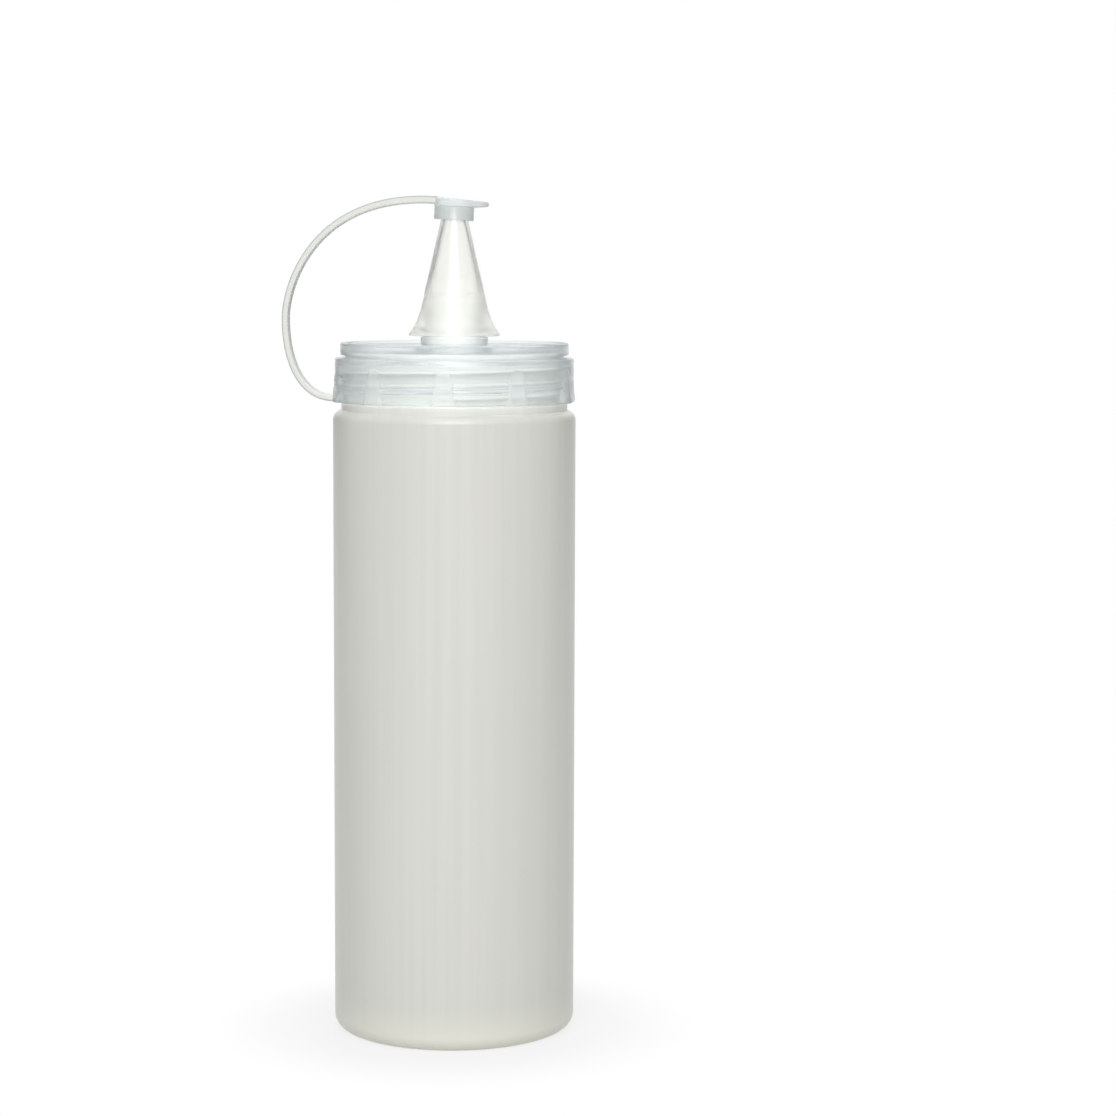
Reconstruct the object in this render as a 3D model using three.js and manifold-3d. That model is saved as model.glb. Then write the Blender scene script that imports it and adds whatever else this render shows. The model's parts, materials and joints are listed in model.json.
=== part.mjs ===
// A squeeze bottle for sauce: a soft blow-moulded bottle, a screw lid with a dispensing nozzle, and a
// small cap for the nozzle's tip that stays on a flexible strap. Millimetres, +Z up, standing at z = 0.
// The strap lies in the XZ plane on the -X side, and -Y is the front.
import * as THREE from "three";
import { mergeVertices } from "three/addons/utils/BufferGeometryUtils.js";
import Module from "manifold-3d";

// How finely round things are cut into flat faces
const roundSegments = 48;
const smallRoundSegments = 32;
const arcSteps = 3;
const curveSteps = 5;
const ridgeStepsPerTurn = 36;
const strapStepsPerLink = 6;
const weldDistance = 1e-4;
const circleSamples = 12;

// Clearances between pieces
const seatClearance = 0.3;
const bite = 0.3; // how deep a joined feature reaches into the wall that carries it

// Bottle body
const bodyRadius = 35;
const bodyHeight = 180.7; // from the table to the flat of the shoulder
const bodyWall = 1.2;
const baseThickness = 1.8;
const baseCornerRadius = 4;
const baseRecessDepth = 1;
const standingRingWidth = 6;
const recessSlope = 2;
const shoulderCornerRadius = 2.8;

// Bottle neck: a small bead on the shoulder, then the screw neck
const beadHeight = 2;
const beadInset = 2.4; // from the body's side to the bead's edge
const beadUndercut = 0.7;
const beadFootHeight = 0.3;
const beadBevel = 0.3;
const neckInset = 5.1; // from the body's side to the neck's
const neckWall = 1.6;
const neckHeight = 14.9; // from the shoulder to the lip

// Screw thread, right-handed and single start; both ridges have the same section
const threadPitch = 3.6;
const threadDepth = 1.7;
const threadClearance = 0.6;
const flankClearance = 0.35;
const ridgeBaseShare = 0.44; // of the pitch
const ridgeCrestShare = 0.18; // of the pitch
const threadFadeShare = 0.06; // of a turn, where a ridge rises from the wall
const threadStartDegrees = -100;
const threadMarginBelow = 2.2; // bead's top to the first ridge's middle
const threadMarginAbove = 2.4; // last ridge's middle to the lip
const lidThreadLagShare = 0.28; // of a turn, how much later the lid's ridge starts
const lidThreadTurns = 1.6;

// Sealing ring under the lid
const gasketThickness = 1.4;
const gasketLap = 0.5; // how far it shows inside the mouth

// Lid
const skirtGap = 0.4; // from the bead to the skirt's lower edge
const skirtWall = 2.2;
const skirtDraft = 0.2;
const skirtCornerRadius = 0.6;
const skirtLeadIn = 0.4;
const stepClearance = 0.25;
const stepHeight = 0.9;
const rimClearance = 0.5;
const grooveWall = 1.2;
const grooveDepth = 1.3;
const grooveHeight = 0.8;
const rimHeight = 3.5;
const rimCornerRadius = 0.5;
const rimLipWidth = 1.3;
const rimLipHeight = 0.8;
const plateThickness = 1.6;

// Grip lugs round the skirt
const lugCount = 10;
const lugWidth = 6.8;
const lugTopWidth = 4.4;
const lugStand = 0.8;
const lugTopGap = 2.6; // from the skirt's top to the lug's

// Boss that holds the nozzle, and the nozzle
const stemRadius = 7.9;
const stemWall = 1.2;
const bossWall = 1.5;
const bossHeight = 2.5;
const barbOverhang = 0.7;
const barbHeight = 1.2;
const barbLandHeight = 0.4;
const barbTaper = 0.9;
const coneFootRadius = 10.5; // of the cone's straight line, where the flare turns off it
const lipOverhang = 2.7; // from there to the flare's edge
const lipEdge = 0.4;
const nozzleHeight = 36.2; // from the lip's underside to the tip
const nozzleWall = 1.2;
const tipRadius = 3.2;
const flareHeight = 4.2; // where the flare's two tangents cross
const flareRise = 5; // from there up to where the flare runs into the cone

// Cap on the nozzle's tip
const capTiltDegrees = 3;
const capRoofGap = 0.6;
const capPlay = 0.8;
const collarLength = 3.7;
const collarWall = 1;
const flangeThickness = 2.65;
const flangeOverhang = 0.2;
const flangeTopSlopeShare = 0.044; // height lost per length, towards the tab
const tabReach = 4; // beyond the flange
const tabRadius = 3.4;
const tabUnderSlopeShare = 0.052;

// Strap from the lid to the cap
const strapThickness = 1.8;
const strapWidth = 5;
const strapReach = 13.9; // how far it swings out beyond the body's side
const strapSideHeightShare = 0.4; // of the rise from root to cap, where it is farthest out
const strapRootDegrees = 184; // direction in which it leaves the lid, from +X towards +Z
const strapRootPullShare = 0.59; // of the reach
const strapLowPullShare = 0.665; // of the rise below the farthest point
const strapHighPullShare = 0.28; // of the rise above it
const strapCapPullShare = 0.81; // of the run from the farthest point to the cap
const strapLinks = 5;
const rootStubLength = 3;
const capStubLength = 2.9;
const linkGap = 0.3;

// Heights worked out from the sizes above, from the table up
const beadTop = bodyHeight + beadHeight;
const neckTop = bodyHeight + neckHeight;
const threadStart = beadTop + threadMarginBelow;
const threadEnd = neckTop - threadMarginAbove;
const skirtBottom = beadTop + skirtGap;
const gasketBottom = neckTop + seatClearance;
const plateBottom = gasketBottom + gasketThickness + seatClearance;
const plateTop = plateBottom + plateThickness;
const rimTop = plateTop + rimLipHeight;
const rimBottom = rimTop - rimHeight;
const skirtTop = rimBottom - grooveHeight;
const bossTop = plateTop + bossHeight;
const lipBottom = bossTop + seatClearance;
const tipHeight = lipBottom + nozzleHeight;
const capHeight = tipHeight + capRoofGap;

// Radii worked out the same way
const neckRadius = bodyRadius - neckInset;
const mouthRadius = neckRadius - neckWall;
const threadCrestRadius = neckRadius + threadDepth;
const skirtInnerRadius = threadCrestRadius + threadClearance;
const skirtRadius = skirtInnerRadius + skirtWall;
const rimInnerRadius = neckRadius + rimClearance;
const grooveRadius = rimInnerRadius + grooveWall;
const rimRadius = grooveRadius + grooveDepth;
const bossBore = stemRadius + seatClearance;
const bossRadius = bossBore + bossWall;
const lipRadius = coneFootRadius + lipOverhang;

// The thread's section and how far below the neck's ridge the lid's ridge runs
const ridgeBase = threadPitch * ridgeBaseShare;
const ridgeCrest = threadPitch * ridgeCrestShare;
const ridgeNarrowing = (ridgeBase - ridgeCrest) * (threadDepth + threadClearance) / (2 * threadDepth);
const ridgeDrop = ridgeBase - ridgeNarrowing + flankClearance;
const neckThreadTurns = (threadEnd - threadStart) / threadPitch;

// The nozzle's cone: its line runs from its foot to the tip
const flareZ = lipBottom + flareHeight;
const coneSlope = (coneFootRadius - tipRadius) / (tipHeight - flareZ);
const coneRadius = (z) => tipRadius + (tipHeight - z) * coneSlope;

const capTilt = THREE.MathUtils.degToRad(capTiltDegrees);
const socketMouthRadius = coneRadius(capHeight - collarLength) + capPlay;
const collarRadius = socketMouthRadius + collarWall;
const flangeRadius = collarRadius + flangeOverhang;

const wasm = await Module();
wasm.setup();

// A closed geometry as a solid that can be joined to others and cut.
function solid(geometry) {
  const bare = geometry.clone();
  bare.deleteAttribute("normal");
  bare.deleteAttribute("uv");
  const welded = mergeVertices(bare, weldDistance);
  const triVerts = new Uint32Array(welded.index.array);
  const vertProperties = welded.attributes.position.array;
  return new wasm.Manifold(new wasm.Mesh({ numProp: 3, vertProperties, triVerts }));
}

// A named mesh of a solid, in the given material.
function piece(name, shape, material) {
  const faces = shape.getMesh();
  const geometry = new THREE.BufferGeometry();
  geometry.setAttribute("position", new THREE.BufferAttribute(faces.vertProperties, 3));
  geometry.setIndex(new THREE.BufferAttribute(faces.triVerts, 1));
  const mesh = new THREE.Mesh(geometry, material);
  mesh.name = name;
  return mesh;
}

// Points on an arc of a profile, from one angle to another in degrees from the outward direction.
function arc(centreRadius, centreHeight, radius, from, to) {
  const points = [];
  for (let i = 0; i <= arcSteps; i++) {
    const angle = THREE.MathUtils.degToRad(from + (to - from) * i / arcSteps);
    points.push([centreRadius + radius * Math.cos(angle), centreHeight + radius * Math.sin(angle)]);
  }
  return points;
}

// A profile of [radius, height] points turned about the Z axis. It runs outwards along the bottom, up
// the outside, and back in over the top or down the inside.
function turned(profile, segments) {
  const points = profile.map(([radius, height]) => new THREE.Vector2(radius, height));
  return solid(new THREE.LatheGeometry(points, segments).rotateX(Math.PI / 2));
}

// Moves every vertex of a geometry to place(x, y, z).
function reshape(geometry, place) {
  const position = geometry.attributes.position;
  for (let i = 0; i < position.count; i++) {
    const moved = place(position.getX(i), position.getY(i), position.getZ(i));
    position.setXYZ(i, moved.x, moved.y, moved.z);
  }
  return geometry;
}

function onCylinder(radius, angle, z) {
  return new THREE.Vector3(radius * Math.cos(angle), radius * Math.sin(angle), z);
}

// A helical ridge: a straight bar with the ridge's section, wound round the axis at the thread's pitch.
// It runs down from its last turn, which keeps its faces outwards on an outer thread; an inner thread
// has its root outside its crest, and is wound from its first turn up.
function threadRidge(rootRadius, crestRadius, startAngle, startHeight, turns) {
  const outer = crestRadius > rootRadius;
  const rise = Math.abs(crestRadius - rootRadius);
  const section = new THREE.Shape([
    new THREE.Vector2(-bite, -ridgeBase / 2),
    new THREE.Vector2(0, -ridgeBase / 2),
    new THREE.Vector2(rise, -ridgeCrest / 2),
    new THREE.Vector2(rise, ridgeCrest / 2),
    new THREE.Vector2(0, ridgeBase / 2),
    new THREE.Vector2(-bite, ridgeBase / 2),
  ]);
  const steps = Math.ceil(turns * ridgeStepsPerTurn);
  const bar = new THREE.ExtrudeGeometry(section, { depth: turns, steps, bevelEnabled: false });
  return solid(reshape(bar, (height, across, along) => {
    const turn = outer ? turns - along : along;
    const fade = Math.min(1, turn / threadFadeShare, (turns - turn) / threadFadeShare);
    const stand = height > 0 ? height * fade : height;
    const radius = outer ? rootRadius + stand : rootRadius - stand;
    return onCylinder(radius, startAngle + 2 * Math.PI * turn, startHeight + threadPitch * turn + across);
  }));
}

// Bottle: one blown skin from the recessed base to the lip, with the thread moulded on its neck.
function bottleBody() {
  const ringOuter = bodyRadius - baseCornerRadius;
  const ringInner = ringOuter - standingRingWidth;
  const innerBase = baseRecessDepth + baseThickness;
  const innerRadius = bodyRadius - bodyWall;
  const innerCorner = baseCornerRadius - bodyWall;
  const innerShoulder = bodyHeight - bodyWall;
  const shoulderFlat = bodyRadius - shoulderCornerRadius;
  const shoulderCentre = bodyHeight - shoulderCornerRadius;
  const beadRadius = bodyRadius - beadInset;
  const beadRoot = beadRadius - beadUndercut;
  const beadUnder = bodyHeight + beadFootHeight;
  const skin = turned([
    [0, baseRecessDepth],
    [ringInner - recessSlope, baseRecessDepth],
    [ringInner, 0],
    ...arc(ringOuter, baseCornerRadius, baseCornerRadius, -90, 0),
    ...arc(shoulderFlat, shoulderCentre, shoulderCornerRadius, 0, 90),
    [beadRoot, bodyHeight],
    [beadRoot, beadUnder],
    [beadRadius, beadUnder + beadFootHeight],
    [beadRadius, beadTop - beadBevel],
    [beadRadius - beadBevel, beadTop],
    [neckRadius, beadTop],
    [neckRadius, neckTop],
    [mouthRadius, neckTop],
    [mouthRadius, innerShoulder],
    ...arc(innerRadius - innerCorner, innerShoulder - innerCorner, innerCorner, 90, 0),
    ...arc(innerRadius - innerCorner, innerBase + innerCorner, innerCorner, 0, -90),
    [0, innerBase],
  ], roundSegments);
  const startAngle = THREE.MathUtils.degToRad(threadStartDegrees);
  return skin.add(threadRidge(neckRadius, threadCrestRadius, startAngle, threadStart, neckThreadTurns));
}

// Sealing ring: a flat washer between the bottle's lip and the lid's plate.
function mouthGasket() {
  const outer = rimInnerRadius - seatClearance;
  const inner = mouthRadius - gasketLap;
  const top = gasketBottom + gasketThickness;
  return turned([[inner, gasketBottom], [outer, gasketBottom], [outer, top], [inner, top],
    [inner, gasketBottom]], roundSegments);
}

// The lid's turned shell: plate with a raised lip, rim, groove, skirt, and the boss for the nozzle.
function lidShell() {
  const skirtFoot = skirtRadius + skirtDraft;
  const stepBottom = threadEnd + ridgeBase / 2 + stepClearance;
  const lipInner = rimRadius - rimLipWidth;
  return turned([
    [bossBore, plateBottom],
    [rimInnerRadius, plateBottom],
    [rimInnerRadius, stepBottom + stepHeight],
    [skirtInnerRadius, stepBottom],
    [skirtInnerRadius, skirtBottom + skirtLeadIn],
    [skirtInnerRadius + skirtLeadIn, skirtBottom],
    [skirtFoot, skirtBottom],
    ...arc(skirtRadius - skirtCornerRadius, skirtTop - skirtCornerRadius, skirtCornerRadius, 0, 90),
    [grooveRadius, skirtTop],
    [grooveRadius, rimBottom],
    [rimRadius, rimBottom],
    ...arc(rimRadius - rimCornerRadius, rimTop - rimCornerRadius, rimCornerRadius, 0, 90),
    [lipInner, rimTop],
    [lipInner, plateTop],
    [bossRadius, plateTop],
    [bossRadius, bossTop],
    [bossBore, bossTop],
    [bossBore, plateBottom],
  ], roundSegments);
}

// A grip lug: a rounded tongue on the skirt, flush at its top and standing proud at its foot.
function gripLug(angle) {
  const top = skirtTop - lugTopGap;
  const outline = new THREE.Shape();
  outline.moveTo(-lugWidth / 2, skirtBottom);
  outline.lineTo(lugWidth / 2, skirtBottom);
  outline.lineTo(lugTopWidth / 2, top - lugTopWidth / 2);
  outline.absarc(0, top - lugTopWidth / 2, lugTopWidth / 2, 0, Math.PI);
  outline.lineTo(-lugWidth / 2, skirtBottom);
  const tongue = { depth: 1, steps: 1, bevelEnabled: false, curveSegments: curveSteps };
  const inner = skirtRadius - bite;
  const footRadius = skirtRadius + skirtDraft + lugStand;
  return solid(reshape(new THREE.ExtrudeGeometry(outline, tongue), (across, z, outwards) => {
    const fall = (top - z) / (top - skirtBottom);
    const outer = skirtRadius + (footRadius - skirtRadius) * fall;
    return onCylinder(inner + (outer - inner) * outwards, angle + across / skirtRadius, z);
  }));
}

// The strap's centre line: two smooth stretches that meet, upright, where it is farthest out.
function strapLine() {
  const rootZ = skirtBottom + strapThickness / 2;
  const root = new THREE.Vector3(-skirtRadius, 0, rootZ);
  const cap = capPoint(-flangeRadius, flangeThickness - strapThickness / 2);
  const riseBelow = (cap.z - rootZ) * strapSideHeightShare;
  const riseAbove = cap.z - rootZ - riseBelow;
  const side = new THREE.Vector3(-bodyRadius - strapReach, 0, rootZ + riseBelow);
  const rootAngle = THREE.MathUtils.degToRad(strapRootDegrees);
  const leave = new THREE.Vector3(Math.cos(rootAngle), 0, Math.sin(rootAngle));
  const up = new THREE.Vector3(0, 0, 1);
  const arrive = new THREE.Vector3(Math.cos(capTilt), 0, -Math.sin(capTilt));
  const rootPull = root.clone().addScaledVector(leave, strapReach * strapRootPullShare);
  const lowPull = side.clone().addScaledVector(up, -riseBelow * strapLowPullShare);
  const highPull = side.clone().addScaledVector(up, riseAbove * strapHighPullShare);
  const capPull = cap.clone().addScaledVector(arrive, (side.x - cap.x) * strapCapPullShare);
  const line = new THREE.CurvePath();
  line.add(new THREE.CubicBezierCurve3(root, rootPull, lowPull, side));
  line.add(new THREE.CubicBezierCurve3(side, highPull, capPull, cap));
  return line;
}

// A point given along and above the cap's flange, in the whole object's frame.
function capPoint(along, above) {
  const tilted = new THREE.Vector3(along, 0, above).applyAxisAngle(new THREE.Vector3(0, 1, 0), capTilt);
  return tilted.add(new THREE.Vector3(0, 0, capHeight));
}

// The strap's line at a length from its root, moved outwards from its centre by an offset.
function strapPoint(line, length, offset) {
  const share = THREE.MathUtils.clamp(length / line.getLength(), 0, 1);
  const tangent = line.getTangentAt(share);
  const outwards = new THREE.Vector3(-tangent.z, 0, tangent.x);
  return line.getPointAt(share).addScaledVector(outwards, offset);
}

// Lengths along the strap at which it bends; its links lie between them.
function strapHinges(line) {
  const last = line.getLength() - capStubLength;
  const spacing = (last - rootStubLength) / strapLinks;
  return Array.from({ length: strapLinks + 1 }, (_, i) => rootStubLength + i * spacing);
}

// A stretch of the strap, as thick and wide as the whole, from one length to another.
function strapStretch(line, from, to, extraPoints) {
  const near = [];
  const far = [];
  for (let i = 0; i <= strapStepsPerLink; i++) {
    const length = from + (to - from) * i / strapStepsPerLink;
    far.push(strapPoint(line, length, strapThickness / 2));
    near.unshift(strapPoint(line, length, -strapThickness / 2));
  }
  const outline = [...far, ...near, ...extraPoints].map((p) => new THREE.Vector2(p.x, p.z));
  const band = new THREE.ExtrudeGeometry(new THREE.Shape(outline), { depth: strapWidth, bevelEnabled: false });
  return solid(band.rotateX(Math.PI / 2).translate(0, strapWidth / 2, 0));
}

// The strap's root on the skirt, up to its first bend.
function strapRoot(line, hinges) {
  const inside = -skirtRadius + bite + skirtDraft;
  const low = new THREE.Vector3(inside, 0, skirtBottom);
  const high = new THREE.Vector3(inside, 0, skirtBottom + strapThickness);
  return strapStretch(line, 0, hinges[0] - linkGap / 2, [high, low]);
}

// Lid: the turned shell with its grip lugs, its thread and the strap's root, moulded in one.
function screwLid(line, hinges) {
  let lid = lidShell();
  const lugStep = 2 * Math.PI / lugCount;
  for (let i = 0; i < lugCount; i++) {
    lid = lid.add(gripLug(Math.PI + (i + 1 / 2) * lugStep));
  }
  const startAngle = THREE.MathUtils.degToRad(threadStartDegrees) + 2 * Math.PI * lidThreadLagShare;
  const startHeight = threadStart + threadPitch * lidThreadLagShare - ridgeDrop;
  const crest = neckRadius + threadClearance;
  lid = lid.add(threadRidge(skirtInnerRadius, crest, startAngle, startHeight, lidThreadTurns));
  return lid.add(strapRoot(line, hinges));
}

// Nozzle: a hollow cone with a flared foot that sits on the boss, and a stem that snaps through it.
function nozzleCone() {
  const flareTop = flareZ + flareRise;
  const flare = new THREE.QuadraticBezierCurve(
    new THREE.Vector2(lipRadius, lipBottom + lipEdge),
    new THREE.Vector2(coneFootRadius, flareZ),
    new THREE.Vector2(coneRadius(flareTop), flareTop),
  );
  const stemInner = stemRadius - stemWall;
  const boreTop = tipHeight - (stemInner + nozzleWall - tipRadius) / coneSlope;
  const barbTop = plateBottom - seatClearance;
  const stemBottom = barbTop - barbHeight;
  return turned([
    [stemInner, stemBottom],
    [stemRadius + barbOverhang - barbTaper, stemBottom],
    [stemRadius + barbOverhang, barbTop - barbLandHeight],
    [stemRadius + barbOverhang, barbTop],
    [stemRadius, barbTop],
    [stemRadius, lipBottom],
    [lipRadius, lipBottom],
    ...flare.getPoints(curveSteps).map((p) => [p.x, p.y]),
    [tipRadius, tipHeight],
    [tipRadius - nozzleWall, tipHeight],
    [stemInner, boreTop],
    [stemInner, stemBottom],
  ], roundSegments);
}

// The cap's flange: a disc over the collar that runs out to a thumb tab and back to the strap's end.
function capFlange(strapEnd) {
  const tabCentre = flangeRadius + tabReach - tabRadius;
  const spread = Math.acos((flangeRadius - tabRadius) / tabCentre);
  const neckAngle = Math.PI - Math.asin(strapWidth / 2 / flangeRadius);
  const outline = new THREE.Shape();
  outline.absarc(tabCentre, 0, tabRadius, -spread, spread);
  outline.absarc(0, 0, flangeRadius, spread, neckAngle);
  outline.lineTo(strapEnd, strapWidth / 2);
  outline.lineTo(strapEnd, -strapWidth / 2);
  outline.absarc(0, 0, flangeRadius, -neckAngle, -spread);
  const plate = { depth: 1, steps: 1, bevelEnabled: false, curveSegments: circleSamples };
  return solid(reshape(new THREE.ExtrudeGeometry(outline, plate), (x, y, share) => {
    const beyond = Math.max(0, x + flangeRadius);
    const top = flangeThickness - beyond * flangeTopSlopeShare;
    const underStrap = x < -flangeRadius ? flangeThickness - strapThickness : 0;
    const bottom = Math.max(0, x) * tabUnderSlopeShare + underStrap;
    return new THREE.Vector3(x, y, bottom + (top - bottom) * share);
  }));
}

// Tip cap: a collar open below that goes over the nozzle's tip, under the flange.
function tipCap(strapEnd) {
  const roofRadius = tipRadius + capPlay;
  const collarTop = flangeThickness / 2;
  const collar = turned([
    [roofRadius, 0],
    [socketMouthRadius, -collarLength],
    [collarRadius, -collarLength],
    [collarRadius, collarTop],
    [0, collarTop],
    [0, 0],
    [roofRadius, 0],
  ], smallRoundSegments);
  return collar.add(capFlange(strapEnd));
}

// Soft plastics: milky bottle, faintly blue lid, clearer nozzle and strap, foam ring
function plastic(color, roughness) {
  return new THREE.MeshStandardMaterial({ color, roughness, metalness: 0 });
}
const bottlePlastic = plastic(0xdfe0da, 0.5);
const lidPlastic = plastic(0xd3dcdc, 0.35);
const nozzlePlastic = plastic(0xf4f4ef, 0.3);
const strapPlastic = plastic(0xe9e8e2, 0.4);
const ringFoam = plastic(0xf2f1ec, 0.8);

const line = strapLine();
const hinges = strapHinges(line);
const squeezeBottle = new THREE.Group();
squeezeBottle.add(piece("bottle_body", bottleBody(), bottlePlastic));
squeezeBottle.add(piece("mouth_gasket", mouthGasket(), ringFoam));
squeezeBottle.add(piece("screw_lid", screwLid(line, hinges), lidPlastic));
squeezeBottle.add(piece("nozzle", nozzleCone(), nozzlePlastic));
for (let i = 0; i < strapLinks; i++) {
  const link = strapStretch(line, hinges[i] + linkGap / 2, hinges[i + 1] - linkGap / 2, []);
  squeezeBottle.add(piece("strap_link_" + (i + 1), link, strapPlastic));
}
const capStrapEnd = -flangeRadius - capStubLength + linkGap / 2;
const cap = piece("tip_cap", tipCap(capStrapEnd), lidPlastic);
cap.position.z = capHeight;
cap.rotation.y = capTilt;
squeezeBottle.add(cap);

export default squeezeBottle;
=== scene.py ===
# %% [markdown]
# A squeeze bottle for sauce, dressed for its picture
#
# The bottle is soft milky polyethylene. On its neck sits a translucent screw lid, and on the lid a
# hollow cone to pour from. On the tip of the cone is a little cap, which a curved strap keeps from
# getting lost. The working model of the same bottle comes in first and stays fixed. Each of its
# faceted pieces is then stood in for by a smooth surface that is worked out from the same sizes, so
# nothing has to be fitted.

# %% Load the working model
import json
from math import comb

import bmesh
import bpy
import numpy as np
from mathutils import Matrix, Vector


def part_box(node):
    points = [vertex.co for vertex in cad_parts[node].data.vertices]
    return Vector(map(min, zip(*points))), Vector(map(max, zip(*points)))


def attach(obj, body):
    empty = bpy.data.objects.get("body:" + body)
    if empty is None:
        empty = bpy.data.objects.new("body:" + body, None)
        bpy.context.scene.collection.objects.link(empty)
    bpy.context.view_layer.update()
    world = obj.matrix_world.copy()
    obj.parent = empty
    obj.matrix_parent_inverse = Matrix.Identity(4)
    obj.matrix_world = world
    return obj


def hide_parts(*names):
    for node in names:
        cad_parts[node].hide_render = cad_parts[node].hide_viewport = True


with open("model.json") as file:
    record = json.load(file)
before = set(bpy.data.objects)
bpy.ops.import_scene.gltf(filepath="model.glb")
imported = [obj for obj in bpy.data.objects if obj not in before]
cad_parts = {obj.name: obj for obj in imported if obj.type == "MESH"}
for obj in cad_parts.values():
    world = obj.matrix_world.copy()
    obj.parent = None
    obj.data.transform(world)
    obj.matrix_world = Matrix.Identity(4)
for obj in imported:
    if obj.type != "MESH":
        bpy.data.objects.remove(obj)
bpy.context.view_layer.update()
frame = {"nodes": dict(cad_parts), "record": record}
MM = 0.001

# %% [markdown]
# The camera
#
# The picture was taken with a long lens, a little above the lid, looking slightly down. The bottle
# stands left of the middle, so the camera is turned to the right of the bottle's axis. The
# distance, the height and the lens were found by matching the round edges of the base, the shoulder
# and the lid, whose ellipses get flatter the closer they are to the height of the camera.

# %% Place the camera
camera_distance = 870 * MM
camera_height = 223 * MM
camera_azimuth = np.radians(5.4)
camera_pitch = np.radians(-5.6)
camera_turn = np.radians(1.98)
camera_roll = np.radians(0.2)
image_side_px = 1116
focal_length_px = 3010
sensor_width_mm = 36

camera_data = bpy.data.cameras.new("camera")
camera_data.sensor_width = sensor_width_mm
camera_data.lens = focal_length_px / image_side_px * sensor_width_mm
camera = bpy.data.objects.new("camera", camera_data)
bpy.context.scene.collection.objects.link(camera)
bpy.context.scene.camera = camera
heading = camera_azimuth - camera_turn
forward = Vector((-np.sin(heading), np.cos(heading), np.tan(camera_pitch))).normalized()
camera_place = Matrix.Translation((
    camera_distance * np.sin(camera_azimuth),
    -camera_distance * np.cos(camera_azimuth),
    camera_height,
))
camera.matrix_world = (
    camera_place
    @ forward.to_track_quat("-Z", "Y").to_matrix().to_4x4()
    @ Matrix.Rotation(camera_roll, 4, "Z")
)
print("lens in mm:", round(camera_data.lens, 1))

# %% [markdown]
# Outlines and surfaces
#
# Nearly every piece is turned: an outline of radius and height, carried round the axis. An outline
# is easiest to hold as complex numbers, radius plus i times height, because turning an arc is then
# one multiplication. Moulded plastic has no knife edges, so in each list of corners below the third
# number is that corner's rounding in mm. Long straight stretches are cut into short ones, which
# keeps smooth shading from bleeding down a flat wall.

# %% Round an outline's corners and space its points
arc_points = 7


def outline(corners, spacing, loop=False):
    """Points along straight lines between corners (radius, height, rounding).

    A rounding r at a corner that turns by the angle a starts r tan(a / 2) before the corner. From
    there the line turns about a centre that lies r to its side. Stretches longer than spacing are
    divided.
    """
    place = np.array([r + 1j * z for r, z, _ in corners])
    rounding = np.array([c[2] for c in corners], float)
    arrive = place - np.roll(place, 1)
    leave = np.roll(place, -1) - place
    if not loop:
        arrive[0], leave[-1] = leave[0], arrive[-1]
    arrive, leave = arrive / abs(arrive), leave / abs(leave)
    turn = np.angle(leave / arrive)
    start = place - arrive * rounding * abs(np.tan(turn / 2))
    centre = start + arrive * 1j * np.sign(turn) * rounding
    steps = np.linspace(0, 1, arc_points)
    arcs = centre[:, None] + (start - centre)[:, None] * np.exp(1j * turn[:, None] * steps)
    line = np.concatenate([a if r > 0 else p[None] for a, r, p in zip(arcs, rounding, place)])
    if loop:
        line = np.append(line, line[0])
    pieces = np.maximum(1, np.ceil(abs(np.diff(line)) / spacing)).astype(int)
    dense = np.concatenate([
        a + (b - a) * np.arange(n) / n for a, b, n in zip(line[:-1], line[1:], pieces)
    ])
    return dense if loop else np.append(dense, line[-1])


# %% Carry an outline round the axis, and close the grid into a mesh
fine_columns = 240
plain_columns = 160


def turned(line, angles, bulge=0):
    """Grid of points: row i, column j lies at radius and height line[i], at angles[j] round Z.

    A bulge adds to the radius; it may be an array with one value for each row and column.
    """
    radius = line.real[:, None] + bulge + 0 * angles[None]
    height = line.imag[:, None] + 0 * radius
    return np.stack([radius * np.cos(angles), radius * np.sin(angles), height], axis=-1)


def closed_piece(name, grid, loop=False, crease=40, thick_or_shaded_edge=None):
    """A closed mesh from a grid of points in mm. Its columns always join up, so it goes round.

    In a loop the rows join up too. Otherwise each end row closes on its own middle point. Edges
    that turn by more than the crease, in degrees, stay sharp. A finish can read thickened, which is
    0 on a plain wall and 1 where the plastic is thickest, or on the strap along a corner that
    carries a line of painted shade.
    """
    rows, columns = grid.shape[:2]
    index = np.arange(rows * columns).reshape(rows, columns)
    upper = np.roll(index, -1, axis=0) if loop else index[1:]
    lower = index if loop else index[:-1]
    quads = np.stack([lower, np.roll(lower, -1, 1), np.roll(upper, -1, 1), upper], axis=-1)
    points = grid.reshape(-1, 3)
    faces = quads.reshape(-1, 4).tolist()
    if not loop:
        first, last = len(points), len(points) + 1
        points = np.vstack([points, grid[0].mean(axis=0), grid[-1].mean(axis=0)])
        edge, opposite = index[0], index[-1]
        faces += [[first, b, a] for a, b in zip(edge.tolist(), np.roll(edge, -1).tolist())]
        faces += [[last, a, b] for a, b in zip(opposite.tolist(), np.roll(opposite, -1).tolist())]
    mesh = bpy.data.meshes.new(name)
    mesh.from_pydata((points * MM).tolist(), [], faces)
    shape = bmesh.new()
    shape.from_mesh(mesh)
    if shape.calc_volume(signed=True) < 0:
        bmesh.ops.reverse_faces(shape, faces=shape.faces)
    volume = shape.calc_volume(signed=True)
    shape.to_mesh(mesh)
    shape.free()
    if thick_or_shaded_edge is not None:
        values = np.zeros(len(mesh.vertices), np.float32)
        values[:thick_or_shaded_edge.size] = thick_or_shaded_edge.ravel()
        mesh.attributes.new("thick_or_shaded_edge", "FLOAT", "POINT").data.foreach_set("value", values)
    mesh.shade_smooth()
    mesh.set_sharp_from_angle(angle=np.radians(crease))
    piece = bpy.data.objects.new(name, mesh)
    bpy.context.scene.collection.objects.link(piece)
    print(name, len(mesh.polygons), "faces,", round(volume / MM**3 / 1000, 2), "ml of plastic")
    return piece


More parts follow.
